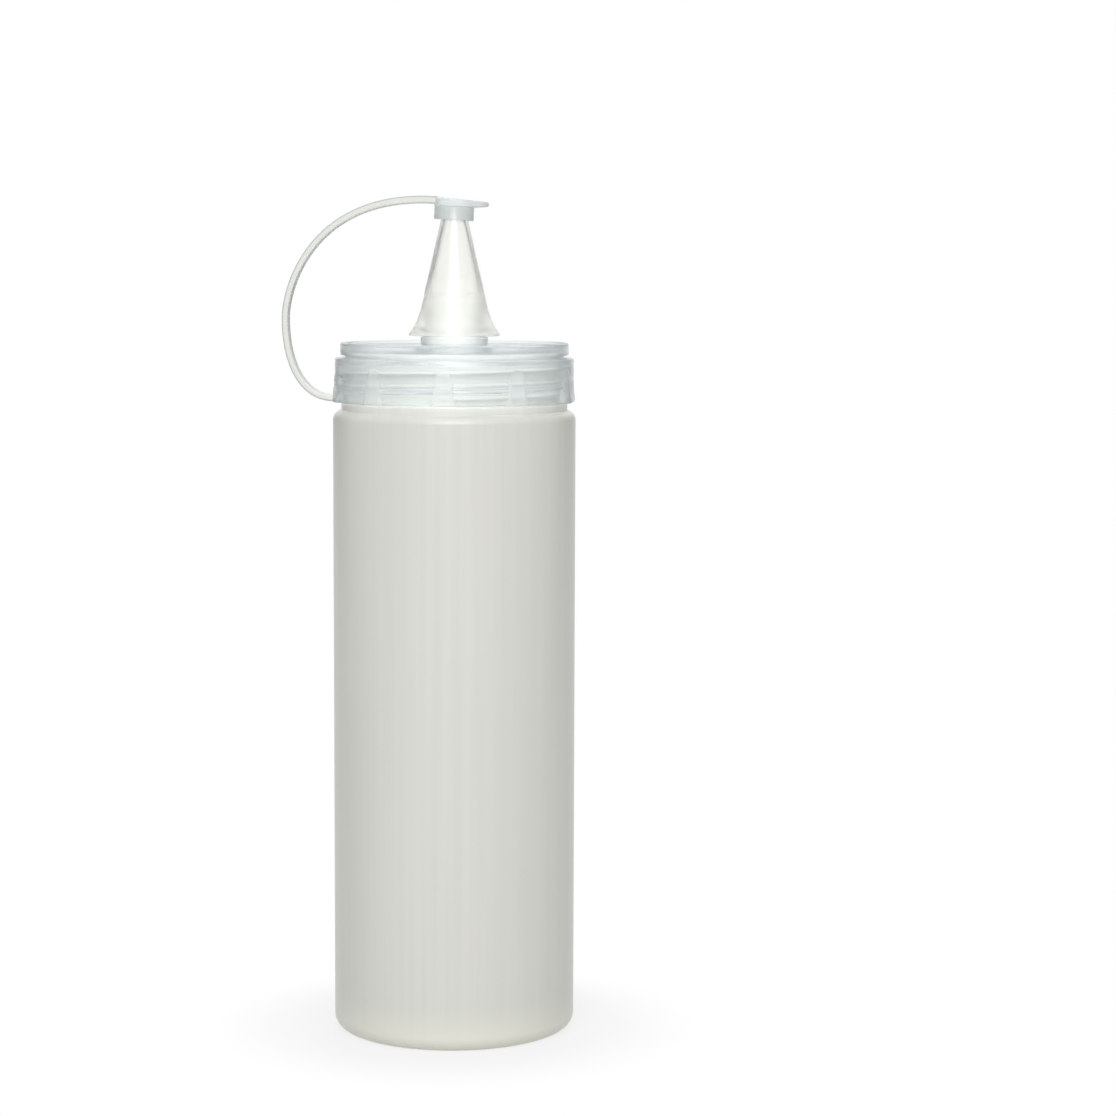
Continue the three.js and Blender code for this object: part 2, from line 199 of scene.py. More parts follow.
def evenly(count):
    """Angles for count columns, evenly round the circle."""
    return 2 * np.pi * np.arange(count) / count


def smooth(share):
    """0 below 0, 1 above 1, and 3 s squared minus 2 s cubed between, level at both ends."""
    s = np.clip(share, 0, 1)
    return s * s * (3 - 2 * s)


# %% [markdown]
# Colours and shader nodes
#
# Colours are written as they look on a screen. Blender reckons in linear light, so one function
# turns the one into the other. A second small function adds a shader node with its settings and its
# inputs: an input is a plain value, or the output of another node, which it then links.

# %% Turn a screen colour into linear light, and add a node
def linear(hex_colour):
    """A channel c of an sRGB colour becomes c / 12.92 when dark, else ((c + 0.055) / 1.055)^2.4."""
    c = np.array([hex_colour >> 16, hex_colour >> 8 & 255, hex_colour & 255]) / 255
    light = np.where(c <= 0.04045, c / 12.92, ((c + 0.055) / 1.055) ** 2.4)
    return (*light.tolist(), 1.0)


def add_node(tree, kind, settings=None, **inputs):
    """A node of that kind. An underscore in an input's name is a space; in_0 is input number 0."""
    node = tree.nodes.new(kind)
    for name, value in (settings or {}).items():
        setattr(node, name, value)
    for name, value in inputs.items():
        key = int(name[3:]) if name.startswith("in_") else name.replace("_", " ")
        if isinstance(value, bpy.types.NodeSocket):
            tree.links.new(value, node.inputs[key])
        else:
            node.inputs[key].default_value = value
    return node


def new_material(name):
    """An empty material, its node tree and its output node."""
    material = bpy.data.materials.new(name)
    material.use_nodes = True
    material.node_tree.nodes.clear()
    return material, material.node_tree, add_node(material.node_tree, "ShaderNodeOutputMaterial")


def finish_piece(piece, material, slot, *nodes):
    """Gives a piece its finish and hides the nodes it stands for. Its slot is not used."""
    piece.data.materials.append(material)
    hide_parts(*nodes)
    return piece


# %% [markdown]
# The finish of the bottle
#
# The bottle is blown from low-density polyethylene, the waxy milky plastic of squeeze bottles. A
# parison, which is a soft tube, is drawn down and blown out against a cold mould. To the eye that
# gives a satin surface with faint streaks along the drawing direction, slow clouds where the wall
# is thicker, and a warmer, creamier tone at the foot, where the most plastic gathers. The foot's
# colour is also painted lighter, as painted light thrown up from the white floor. It shows only a
# weak, broad shine.
#
# On the real bottle light goes in, scatters and comes out again inside too. A surface that only
# scatters outwards would keep the lamps out and leave the inside and the underside of the lid too
# dark. So to a lamp's light each face of the wall is a pale filter, which lets a good half through.

# %% Milky blown polyethylene
streak_width_mm = 2.5
streak_length_mm = 160
cloud_size_mm = 45
satin_grain_mm = 0.9
satin_depth_mm = 0.05
creamy_floor_lit_foot_height_mm = 14
cloud_colours = 0xE5E6E0, 0xE4E1DB
streak_colour, streak_strength = 0xDEDFD8, 0.6
streak_noise_low, streak_noise_high = 0.35, 0.65
creamy_floor_lit_foot_colour, creamy_floor_lit_foot_strength = 0xF4F2E8, 0.9
lamp_filter = (0.6, 0.6, 0.58, 1)

bottle_ldpe, tree, output = new_material("milky_blown_polyethylene")
place = add_node(tree, "ShaderNodeTexCoord").outputs["Object"]
drawn = add_node(
    tree, "ShaderNodeMapping", Vector=place, Scale=(1, 1, streak_width_mm / streak_length_mm)
).outputs["Vector"]
streaks = add_node(
    tree, "ShaderNodeTexNoise", Vector=drawn, Scale=1 / (streak_width_mm * MM), Detail=3.0
).outputs["Fac"]
clouds = add_node(
    tree, "ShaderNodeTexNoise", Vector=place, Scale=1 / (cloud_size_mm * MM), Detail=2.0
).outputs["Fac"]
grain = add_node(
    tree, "ShaderNodeTexNoise", Vector=place, Scale=1 / (satin_grain_mm * MM), Detail=2.0
).outputs["Fac"]
cloudy = add_node(
    tree, "ShaderNodeMix", {"data_type": "RGBA"},
    Factor=clouds, in_6=linear(cloud_colours[0]), in_7=linear(cloud_colours[1]),
).outputs[2]
streak_share = add_node(
    tree, "ShaderNodeMapRange", Value=streaks,
    From_Min=streak_noise_low, From_Max=streak_noise_high, To_Min=0, To_Max=streak_strength,
).outputs["Result"]
streaked = add_node(
    tree, "ShaderNodeMix", {"data_type": "RGBA"},
    Factor=streak_share, in_6=cloudy, in_7=linear(streak_colour),
).outputs[2]
height = add_node(tree, "ShaderNodeSeparateXYZ", Vector=place).outputs["Z"]
# The foot's warmer, lighter colour is partly the creamier thick plastic, partly painted light from
# the floor.
creamy_floor_lit_foot_share = add_node(
    tree, "ShaderNodeMapRange", {"interpolation_type": "SMOOTHSTEP"}, Value=height,
    From_Min=0, From_Max=creamy_floor_lit_foot_height_mm * MM, To_Min=creamy_floor_lit_foot_strength, To_Max=0,
).outputs["Result"]
milky = add_node(
    tree, "ShaderNodeMix", {"data_type": "RGBA"},
    Factor=creamy_floor_lit_foot_share, in_6=streaked, in_7=linear(creamy_floor_lit_foot_colour),
).outputs[2]
satin = add_node(
    tree, "ShaderNodeBump", Strength=0.12, Distance=satin_depth_mm * MM, Height=grain
).outputs["Normal"]
surface = add_node(
    tree, "ShaderNodeBsdfPrincipled",
    Base_Color=milky, Roughness=0.3, IOR=1.51, Specular_IOR_Level=0.45, Normal=satin,
)
let_in = add_node(tree, "ShaderNodeBsdfTransparent", Color=lamp_filter)
lamp_ray = add_node(tree, "ShaderNodeLightPath").outputs["Is Shadow Ray"]
skin = add_node(
    tree, "ShaderNodeMixShader", Fac=lamp_ray,
    in_1=surface.outputs["BSDF"], in_2=let_in.outputs["BSDF"],
)
tree.links.new(skin.outputs["Shader"], output.inputs["Surface"])
print("finish of the bottle:", bottle_ldpe.name)

# %% [markdown]
# The finish of the lid, the nozzle, the strap and the tip cap
#
# These are moulded from clearer polyethylene. Light passes through a thin wall, blurred, and a
# thicker place looks milkier. The lid and the tip cap have a faint blue cast, and the nozzle and
# the strap are neutral. The strap is a narrow band that lets hardly any light through, so it is
# milky all over, with a greyer line of painted shade where its outer face turns the corner. Each
# finish is one glass-like shader that is partly milky, with a rough blur, a slightly uneven gloss
# from the mould, and the grain of a mould that was never polished.
#
# Polyethylene bends light by 1.51, but its haze evens the bending out, and 1.38 looks more like it.
# The uneven gloss stays on one side of a roughness of 0.27. Below that a denoiser takes a surface
# for a mirror, so a gloss that crossed it would show its border as fine cracks.

# %% Translucent moulded polyethylene
mould_grain_mm = 0.7
dimple_depth_mm = 0.03
flow_mark_mm = 9
flow_low, flow_high = 0.3, 0.7
gloss_spread = 0.15
hazy_ior = 1.38


def moulded_polyethylene(
    name, colours, thick_or_shaded_edge_colour, clearness, thick_clearness, roughness, lamp_share
):
    """Polyethylene with slow flow marks between two near colours, and an uneven gloss.

    Clearness is the share of light that enters and goes on through, blurred, and not back out
    again. It and the colour have other values where the plastic is thicker, and on the strap
    along its outer corner, where the colour is a line of painted shade. Lamp share is how much of
    a lamp's light each face passes on, so that what lies behind is lit.
    """
    material, tree, output = new_material(name)
    place = add_node(tree, "ShaderNodeTexCoord").outputs["Object"]
    flow = add_node(
        tree, "ShaderNodeTexNoise", Vector=place, Scale=1 / (flow_mark_mm * MM), Detail=3.0
    ).outputs["Fac"]
    grain = add_node(
        tree, "ShaderNodeTexNoise", Vector=place, Scale=1 / (mould_grain_mm * MM), Detail=2.0
    ).outputs["Fac"]
    colour = add_node(
        tree, "ShaderNodeMix", {"data_type": "RGBA"},
        Factor=flow, in_6=linear(colours[0]), in_7=linear(colours[1]),
    ).outputs[2]
    gloss = add_node(
        tree, "ShaderNodeMapRange", Value=flow, From_Min=flow_low, From_Max=flow_high,
        To_Min=roughness * (1 - gloss_spread), To_Max=roughness * (1 + gloss_spread),
    ).outputs["Result"]
    dimples = add_node(
        tree, "ShaderNodeBump", Strength=0.1, Distance=dimple_depth_mm * MM, Height=grain
    ).outputs["Normal"]
    thick_or_shaded_edge = add_node(
        tree, "ShaderNodeAttribute", {"attribute_name": "thick_or_shaded_edge"}
    ).outputs["Fac"]
    # Where marked, the colour turns milkier, or on the strap greyer, as painted shade along its
    # corner.
    milkier_or_shaded_edge = add_node(
        tree, "ShaderNodeMix", {"data_type": "RGBA"},
        Factor=thick_or_shaded_edge, in_6=colour, in_7=linear(thick_or_shaded_edge_colour),
    ).outputs[2]
    let_through = add_node(
        tree, "ShaderNodeMapRange", Value=thick_or_shaded_edge, To_Min=clearness, To_Max=thick_clearness
    ).outputs["Result"]
    plastic = add_node(
        tree, "ShaderNodeBsdfPrincipled",
        Base_Color=milkier_or_shaded_edge, Roughness=gloss, IOR=hazy_ior, Transmission_Weight=let_through,
        Normal=dimples,
    ).outputs["BSDF"]
    passed_on = add_node(
        tree, "ShaderNodeBsdfTransparent", Color=(lamp_share, lamp_share, lamp_share, 1)
    ).outputs["BSDF"]
    lamp_ray = add_node(tree, "ShaderNodeLightPath").outputs["Is Shadow Ray"]
    surface = add_node(
        tree, "ShaderNodeMixShader", Fac=lamp_ray, in_1=plastic, in_2=passed_on
    ).outputs["Shader"]
    tree.links.new(surface, output.inputs["Surface"])
    print("finish:", name)
    return material


lid_ldpe = moulded_polyethylene(
    "blue_tinted_moulded_polyethylene", colours=(0xF7FBFC, 0xF2F7FA), thick_or_shaded_edge_colour=0xFBFDFD,
    clearness=0.8, thick_clearness=0.4, roughness=0.22, lamp_share=0.92,
)
cap_ldpe = moulded_polyethylene(
    "blue_tinted_tip_cap_polyethylene", colours=(0xEFF3F3, 0xE9EEEE), thick_or_shaded_edge_colour=0xEFF3F3,
    clearness=0.6, thick_clearness=0.6, roughness=0.23, lamp_share=0.8,
)
nozzle_ldpe = moulded_polyethylene(
    "clear_white_moulded_polyethylene", colours=(0xFEFEFC, 0xFDFDFA), thick_or_shaded_edge_colour=0xFEFEFB,
    clearness=0.93, thick_clearness=0.6, roughness=0.2, lamp_share=0.98,
)
# On the strap the darker thick colour is a line of painted shade along the outer corner.
strap_ldpe = moulded_polyethylene(
    "soft_white_strap_polyethylene", colours=(0xEFEFEA, 0xE9EAE5), thick_or_shaded_edge_colour=0xBCC0BF,
    clearness=0.0, thick_clearness=0.0, roughness=0.5, lamp_share=0.6,
)

# %% [markdown]
# The foam of the sealing ring
#
# The ring is punched from a sheet of closed-cell foam. Its cells are far smaller than a pixel, so
# they are drawn coarser than life, as shallow round dents in a dull white surface.

# %% White sealing foam
foam_cell_mm = 0.5
foam_dent_mm = 0.1
foam_colours = 0xEDECE6, 0xF6F5F1

foam_ring, tree, output = new_material("white_sealing_foam")
place = add_node(tree, "ShaderNodeTexCoord").outputs["Object"]
cells = add_node(
    tree, "ShaderNodeTexVoronoi", Vector=place, Scale=1 / (foam_cell_mm * MM)
).outputs["Distance"]
tone = add_node(
    tree, "ShaderNodeMix", {"data_type": "RGBA"},
    Factor=cells, in_6=linear(foam_colours[0]), in_7=linear(foam_colours[1]),
).outputs[2]
dents = add_node(
    tree, "ShaderNodeBump", Strength=0.4, Distance=foam_dent_mm * MM, Height=cells
).outputs["Normal"]
surface = add_node(
    tree, "ShaderNodeBsdfPrincipled", Base_Color=tone, Roughness=0.85, Normal=dents
)
tree.links.new(surface.outputs["BSDF"], output.inputs["Surface"])
print("finish:", foam_ring.name)

# %% [markdown]
# The bottle
#
# One skin runs from the pressed-in base up the outside to the lip, over it, and down the inside.
# The shoulder is a single arc that runs up into the bead, the flat ring that the lid comes down to.
# The blown base shows a pinch-off, a low straight weld where the mould closed the soft tube. The
# neck carries one right-handed thread. Both are moved points on the same grid, so no joins are
# needed: the thread adds to the neck's radius, and the weld lowers the middle of the base.

# %% Sizes of the bottle, in mm
body_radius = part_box("bottle_body")[1].x / MM
neck_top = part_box("bottle_body")[1].z / MM
neck_height = 14.9
body_height = neck_top - neck_height
body_wall = 1.2
base_thickness = 1.8
base_corner = 4
base_recess = 1
standing_ring_width = 6
recess_slope = 2
shoulder_corner = 2.8
bead_height = 2
bead_inset = 2.4
neck_inset = 5.1
neck_wall = 1.6
edge_round = 0.3
weld_height = 0.4
weld_width = 1.2
weld_run_out = 3

bead_top = body_height + bead_height
bead_radius = body_radius - bead_inset
neck_radius = body_radius - neck_inset
mouth_radius = neck_radius - neck_wall
print("body radius", round(body_radius, 2), "shoulder", round(body_height, 2))
print("lip at", round(neck_top, 2))

# %% Sizes of the screw thread, in mm and in turns
thread_pitch = 3.6
thread_depth = 1.7
thread_clearance = 0.6
flank_clearance = 0.35
thread_above_bead = 2.2
thread_below_lip = 2.4
ridge_base = 0.44 * thread_pitch
ridge_crest = 0.18 * thread_pitch
ridge_fullness = 0.7
fade_turn = 0.06
thread_start_angle = np.radians(-100)
thread_start = bead_top + thread_above_bead
thread_end = neck_top - thread_below_lip
neck_thread_turns = (thread_end - thread_start) / thread_pitch


def ridge(angles, heights, start_angle, start_height, turns):
    """How far a screw ridge stands up, from 0 to 1, at each height (row) and angle (column).

    Its middle climbs one pitch a turn. Its section is a rounded hump, (1 - u squared) raised to
    ridge_fullness, for u from -1 to 1 across the ridge. It rises out of the wall and sinks back
    over a short part of a turn.
    """
    stand = np.zeros((len(heights), len(angles)))
    for lap in range(int(np.ceil(turns)) + 1):
        turn = lap + np.mod(angles - start_angle, 2 * np.pi) / (2 * np.pi)
        across = abs(heights[:, None] - start_height - thread_pitch * turn[None])
        section = np.clip(1 - (across / (ridge_base / 2)) ** 2, 0, 1) ** ridge_fullness
        fade = smooth(np.minimum(turn, turns - turn) / fade_turn)
        stand = np.maximum(stand, section * fade[None])
    return stand


# %% Make the bottle
shoulder_points = 16
wall_spacing = 3
thread_spacing = 0.14
base_hole = 1


def bottle_skin():
    """The turned skin, with the thread on the neck and the weld under the base as moved points."""
    ring_outer = body_radius - base_corner
    ring_inner = ring_outer - standing_ring_width
    recess_radius = ring_inner - recess_slope
    inner_base = base_recess + base_thickness
    inner_radius = body_radius - body_wall
    inner_corner = base_corner - body_wall
    inner_shoulder = body_height - body_wall
    shoulder_centre = body_radius - shoulder_corner + 1j * (body_height - shoulder_corner)
    bead_angle = np.arccos((bead_radius - shoulder_centre.real) / shoulder_corner)
    shoulder_turn = np.exp(1j * np.linspace(0, bead_angle, shoulder_points))
    shoulder = shoulder_centre + shoulder_corner * shoulder_turn
    below_neck = outline([
        (base_hole, base_recess, 0),
        (recess_radius, base_recess, 0.8),
        (ring_inner, 0, 0.6),
        (body_radius, 0, base_corner),
        *[(p.real, p.imag, 0) for p in shoulder],
        (bead_radius, bead_top, edge_round),
        (neck_radius + edge_round, bead_top, 0),
    ], wall_spacing)
    neck = outline([
        (neck_radius, bead_top + edge_round, 0),
        (neck_radius, neck_top - edge_round, 0),
    ], thread_spacing)
    inside = outline([
        (neck_radius, neck_top - 0.2, 0),
        (neck_radius, neck_top, 0.19),
        (mouth_radius, neck_top, edge_round),
        (mouth_radius, inner_shoulder, 1.5),
        (inner_radius, inner_shoulder, inner_corner),
        (inner_radius, inner_base, inner_corner),
        (base_hole, inner_base, 0),
    ], wall_spacing)
    line = np.concatenate([below_neck, neck, inside])
    angles = evenly(fine_columns)
    on_neck = np.zeros(len(line))
    on_neck[len(below_neck):len(below_neck) + len(neck)] = thread_depth
    thread = ridge(angles, line.imag, thread_start_angle, thread_start, neck_thread_turns)
    grid = turned(line, angles, on_neck[:, None] * thread)
    under = (np.arange(len(line)) < len(below_neck)) & (line.real < recess_radius)
    weld = weld_height * smooth(1 - abs(grid[..., 0]) / weld_width)
    weld *= smooth((recess_radius - line.real[:, None]) / weld_run_out)
    grid[..., 2] -= np.where(under[:, None], weld, 0)
    return closed_piece("bottle_skin", grid)


bottle = finish_piece(bottle_skin(), bottle_ldpe, "bottle_ldpe", "bottle_body")
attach(bottle, "bottle")

# %% [markdown]
# The sealing ring
#
# A flat washer lies between the bottle's lip and the lid's plate. It hardly shows, but it is there
# when the lid is looked through or taken off.

# %% Make the sealing ring
seat_clearance = 0.3
gasket_thickness = 1.4
gasket_lap = 0.5
gasket_spacing = 1
rim_clearance = 0.5

gasket_bottom = neck_top + seat_clearance
gasket_top = gasket_bottom + gasket_thickness
rim_inner = neck_radius + rim_clearance
washer = outline([
    (mouth_radius - gasket_lap, gasket_bottom, edge_round),
    (rim_inner - seat_clearance, gasket_bottom, edge_round),
    (rim_inner - seat_clearance, gasket_top, edge_round),
    (mouth_radius - gasket_lap, gasket_top, edge_round),
], gasket_spacing, loop=True)
gasket = closed_piece("sealing_ring_foam", turned(washer, evenly(plain_columns)), loop=True)
finish_piece(gasket, foam_ring, "foam_ring", "mouth_gasket")
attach(gasket, "sealing_ring")

# %% [markdown]
# The lid
#
# The lid is one moulding: a plate with a raised lip, a rim, a groove, and a skirt with ten grip
# lugs outside and the screw thread inside. The whole shell is one closed outline carried round the
# axis. The lugs push the skirt's outside out and the thread pushes its inside in. The columns of
# the grid crowd together at the lugs, whose edges are crisp, and spread out between them, which
# keeps the mesh light.
#
# Thick plastic cools last, so the skirt sinks in by a hair outside, a little above the thread's
# ridge, and these sink marks catch the light in slanting lines. The ridge, the boss under the
# nozzle and, a little, the lugs are also milkier than the thin wall, and are marked as thickened.

# %% Sizes of the lid, in mm
skirt_gap = 0.4
skirt_wall = 2.2
skirt_draft = 0.2
skirt_corner = 0.6
lead_in = 0.4
step_clearance = 0.25
step_height = 0.9
groove_wall = 1.2
groove_depth = 1.3
groove_height = 0.8
rim_height = 3.5
rim_corner = 0.5
lip_width = 1.3
lip_height = 0.8
plate_thickness = 1.6
lug_count = 10
lug_width = 6.8
lug_top_width = 4.4
lug_stand = 0.8
lug_top_share = 0.25
lug_top_gap = 2.6
lug_edge = 1.0
stem_radius = 7.9
boss_wall = 1.5
boss_height = 2.5

skirt_bottom = bead_top + skirt_gap
skirt_inner = neck_radius + thread_depth + thread_clearance
skirt_radius = skirt_inner + skirt_wall
skirt_foot = skirt_radius + skirt_draft
plate_bottom = gasket_top + seat_clearance
plate_top = plate_bottom + plate_thickness
rim_top = plate_top + lip_height
rim_bottom = rim_top - rim_height
skirt_top = rim_bottom - groove_height
groove_radius = rim_inner + groove_wall
rim_radius = groove_radius + groove_depth
boss_bore = stem_radius + seat_clearance
boss_radius = boss_bore + boss_wall
boss_top = plate_top + boss_height
print("skirt", round(skirt_bottom, 2), "to", round(skirt_top, 2), "rim top", round(rim_top, 2))


# %% Shape of the grip lugs
def lugs(angles, heights):
    """How far the lugs stand out from the skirt at each height (row) and angle (column), in mm.

    A lug is a tongue that narrows upwards and ends in a half circle. Its height over the skirt
    grows evenly from its top down to its foot, and its sides are soft slopes of lug_edge.
    """
    top = skirt_top - lug_top_gap
    sector = 2 * np.pi / lug_count
    across = abs((np.mod(angles, sector) - sector / 2) * skirt_radius)[None]
    drop = (top - heights)[:, None]
    straight = drop - lug_top_width / 2
    whole = top - skirt_bottom - lug_top_width / 2
    widening = (lug_width - lug_top_width) / 2 * np.clip(straight / whole, 0, 1)
    half_width = lug_top_width / 2 + widening
    round_top = lug_top_width / 2 - np.hypot(across, np.minimum(straight, 0))
    inside = np.where(straight < 0, round_top, half_width - across)
    stand = lug_stand * (lug_top_share + (1 - lug_top_share) * drop / (top - skirt_bottom))
    return np.maximum(stand, 0) * smooth(inside / lug_edge + 0.5)


# %% Make the lid
shell_spacing = 0.25
plate_rows_kept = 8
column_crowding = 0.6
lid_thread_lag = 0.28
lid_thread_turns = 1.6
sink_depth = 0.12
sink_lift = 1.6
lug_milkiness = 0.25
boss_milkiness = 0.6


def lid_shell():
    """The turned shell, with lugs outside the skirt and the thread's ridge inside as moved points.

    On the flat plate, which needs no fine rows, one row in plate_rows_kept stays.
    """
    step_bottom = thread_end + ridge_base / 2 + step_clearance
    whole_line = outline([
        (boss_bore, plate_bottom, 0.2),
        (rim_inner, plate_bottom, 0.4),
        (rim_inner, step_bottom + step_height, 0.3),
        (skirt_inner, step_bottom, 0.3),
        (skirt_inner, skirt_bottom + lead_in, 0.2),
        (skirt_inner + lead_in, skirt_bottom, 0.1),
        (skirt_foot, skirt_bottom, 0.2),
        (skirt_radius, skirt_top, skirt_corner),
        (groove_radius, skirt_top, 0.15),
        (groove_radius, rim_bottom, 0.15),
        (rim_radius, rim_bottom, 0.2),
        (rim_radius, rim_top, rim_corner),
        (rim_radius - lip_width, rim_top, 0.25),
        (rim_radius - lip_width, plate_top, 0.25),
        (boss_radius, plate_top, 0.4),
        (boss_radius, boss_top, 0.3),
        (boss_bore, boss_top, 0.3),
    ], shell_spacing, loop=True)
    plate = (whole_line.real > boss_radius + 1) & (whole_line.real < rim_inner - 1)
    line = whole_line[~plate | (np.arange(len(whole_line)) % plate_rows_kept == 0)]
    even = evenly(fine_columns)
    angles = even + column_crowding / lug_count * np.sin(lug_count * even)
    outside = line.real > skirt_radius - skirt_corner / 2
    outside &= line.imag < skirt_top - skirt_corner
    lug = lugs(angles, line.imag)
    on_lug = np.where(outside[:, None], smooth(lug / (lug_stand / 4)), 0)
    on_boss = smooth(boss_radius + 1 - line.real) * smooth(line.imag - plate_top)
    on_bore = np.isclose(line.real, skirt_inner)
    narrowing = (ridge_base - ridge_crest) * (thread_depth + thread_clearance) / (2 * thread_depth)
    ridge_drop = ridge_base - narrowing + flank_clearance
    start_angle = thread_start_angle + 2 * np.pi * lid_thread_lag
    start_height = thread_start + thread_pitch * lid_thread_lag - ridge_drop
    thread = ridge(angles, line.imag, start_angle, start_height, lid_thread_turns)
    on_ridge = np.where(on_bore[:, None], thread, 0)
    sink = ridge(angles, line.imag, start_angle, start_height + sink_lift, lid_thread_turns + 1)
    bulge = np.where(outside[:, None], lug - sink_depth * sink, 0) - thread_depth * on_ridge
    thick_or_shaded_edge = np.maximum(lug_milkiness * on_lug, on_ridge)
    thick_or_shaded_edge = np.maximum(thick_or_shaded_edge, boss_milkiness * on_boss[:, None])
    return closed_piece("lid_shell", turned(line, angles, bulge), loop=True, thick_or_shaded_edge=thick_or_shaded_edge)


lid = finish_piece(lid_shell(), lid_ldpe, "lid_ldpe", "screw_lid")
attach(lid, "lid")

# %% [markdown]
# The nozzle
#
# A hollow cone with a flared foot sits on the lid's boss. Below the foot a stem goes through the
# lid and ends in a snap barb. The flare is a Bezier curve that leaves the foot's edge and runs into
# the cone, so the two meet without a kink. The cone is milkiest at its foot and clears up towards
# the tip. The stem below the foot stays clear.

# %% A smooth curve through control points
def bezier(controls, count):
    """A Bezier curve: the sum over k of choose(n, k) (1 - t)^(n - k) t^k times control point k."""
    controls = np.asarray(controls)
    degree = len(controls) - 1
    t = np.linspace(0, 1, count)
    weights = [comb(degree, k) * (1 - t) ** (degree - k) * t**k for k in range(degree + 1)]
    return np.tensordot(np.array(weights), controls, axes=(0, 0))


# %% Sizes of the nozzle, in mm
stem_wall = 1.2
barb_overhang = 0.7
barb_height = 1.2
barb_land = 0.4
barb_taper = 0.9
nozzle_wall = 1.2
tip_radius = 3.2
cone_foot_radius = 10.5
lip_overhang = 2.7
lip_edge = 0.4
flare_height = 4.2
flare_rise = 5
bore_round = 20

lip_bottom = boss_top + seat_clearance
lip_radius = cone_foot_radius + lip_overhang
tip_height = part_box("nozzle")[1].z / MM
flare_z = lip_bottom + flare_height
cone_slope = (cone_foot_radius - tip_radius) / (tip_height - flare_z)
print("nozzle", round(lip_bottom, 2), "to", round(tip_height, 2))

# %% Make the nozzle
flare_points = 18
cone_spacing = 0.8
milky_share_of_height = 0.7
milky_from_share = -0.05


def cone_radius(z):
    """The cone's radius in mm at a height: the tip's, plus the slope times the way down."""
    return tip_radius + (tip_height - z) * cone_slope


def nozzle_cone():
    """The turned cone, hollow from the stem's end up to the tip."""
    flare_top = flare_z + flare_rise
    flare = bezier([
        lip_radius + 1j * (lip_bottom + lip_edge),
        cone_foot_radius + 1j * flare_z,
        cone_radius(flare_top) + 1j * flare_top,
    ], flare_points)
    stem_inner = stem_radius - stem_wall
    bore_top = tip_height - (stem_inner + nozzle_wall - tip_radius) / cone_slope
    barb_top = plate_bottom - seat_clearance
    stem_bottom = barb_top - barb_height
    line = outline([
        (stem_inner, stem_bottom, 0.2),
        (stem_radius + barb_overhang - barb_taper, stem_bottom, 0.2),
        (stem_radius + barb_overhang, barb_top - barb_land, 0.2),
        (stem_radius + barb_overhang, barb_top, 0.1),
        (stem_radius, barb_top, 0.1),
        (stem_radius, lip_bottom, 0.1),
        (lip_radius, lip_bottom, 0.15),
        *[(p.real, p.imag, 0) for p in flare],
        (tip_radius, tip_height, 0.3),
        (tip_radius - nozzle_wall, tip_height, 0.3),
        (stem_inner, bore_top, bore_round),
    ], cone_spacing, loop=True)
    grid = turned(line, evenly(plain_columns))
    milky_height = milky_share_of_height * (tip_height - lip_bottom)
    share_up = (grid[..., 2] - lip_bottom) / milky_height
    solid_foot = np.where(share_up > milky_from_share, smooth(1 - share_up), 0)
    return closed_piece("nozzle_cone", grid, loop=True, thick_or_shaded_edge=solid_foot)


nozzle = finish_piece(nozzle_cone(), nozzle_ldpe, "nozzle_ldpe", "nozzle")
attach(nozzle, "lid")

# %% [markdown]
# The tip cap
#
# The cap is a short collar that slips over the nozzle's tip, under a flange with a thumb tab. Seen
# from above, the flange and its tab have the outline of a belt round a large and a small wheel. So
# the cap is turned like the rest, but its flange reaches out by a radius that depends on the angle.
# The whole cap leans a little, because the strap pulls on one side.

# %% Sizes of the tip cap, in mm
cap_tilt = np.radians(3)
cap_roof_gap = 0.6
cap_play = 0.8
collar_length = 3.7
collar_wall = 1
flange_thickness = 2.65
flange_overhang = 0.2
flange_edge = 0.55
flange_top_slope = 0.044
tab_reach = 4
tab_radius = 3.4
tab_under_slope = 0.052

cap_height = tip_height + cap_roof_gap
socket_mouth = cone_radius(cap_height - collar_length) + cap_play
socket_roof = tip_radius + cap_play
collar_radius = socket_mouth + collar_wall
flange_radius = collar_radius + flange_overhang
print("flange radius", round(flange_radius, 2))


def belt_radius(angles):
    """The flange's reach at each angle: on the large circle, the straight side or the tab's circle.

    The straight side is at right angles to the radius where it touches the large circle, so its
    reach is the large radius divided by the cosine of the angle from that point.
    """
    tab_centre = flange_radius + tab_reach - tab_radius
    spread = np.arccos((flange_radius - tab_radius) / tab_centre)
    turn = abs(np.angle(np.exp(1j * angles)))
    tab_touch = np.angle(tab_centre + tab_radius * np.exp(1j * spread))
    side = flange_radius / np.cos(np.minimum(turn - spread, 1))
    reach = np.clip(tab_radius**2 - (tab_centre * np.sin(turn)) ** 2, 0, None)
    tab = tab_centre * np.cos(turn) + np.sqrt(reach)
    return np.where(turn < tab_touch, tab, np.where(turn < spread, side, flange_radius))


def in_place_on_tip(points):
    """Leans points by the cap's tilt about the Y axis, and lifts them onto the nozzle's tip."""
    x, y, z = np.moveaxis(points, -1, 0)
    leaned = x * np.cos(cap_tilt) + z * np.sin(cap_tilt)
    raised = z * np.cos(cap_tilt) - x * np.sin(cap_tilt) + cap_height
    return np.stack([leaned, y, raised], axis=-1)


# %% Make the tip cap
collar_spacing = 0.6
edge_rows = 17
top_rows = 24
middle_share = 0.02


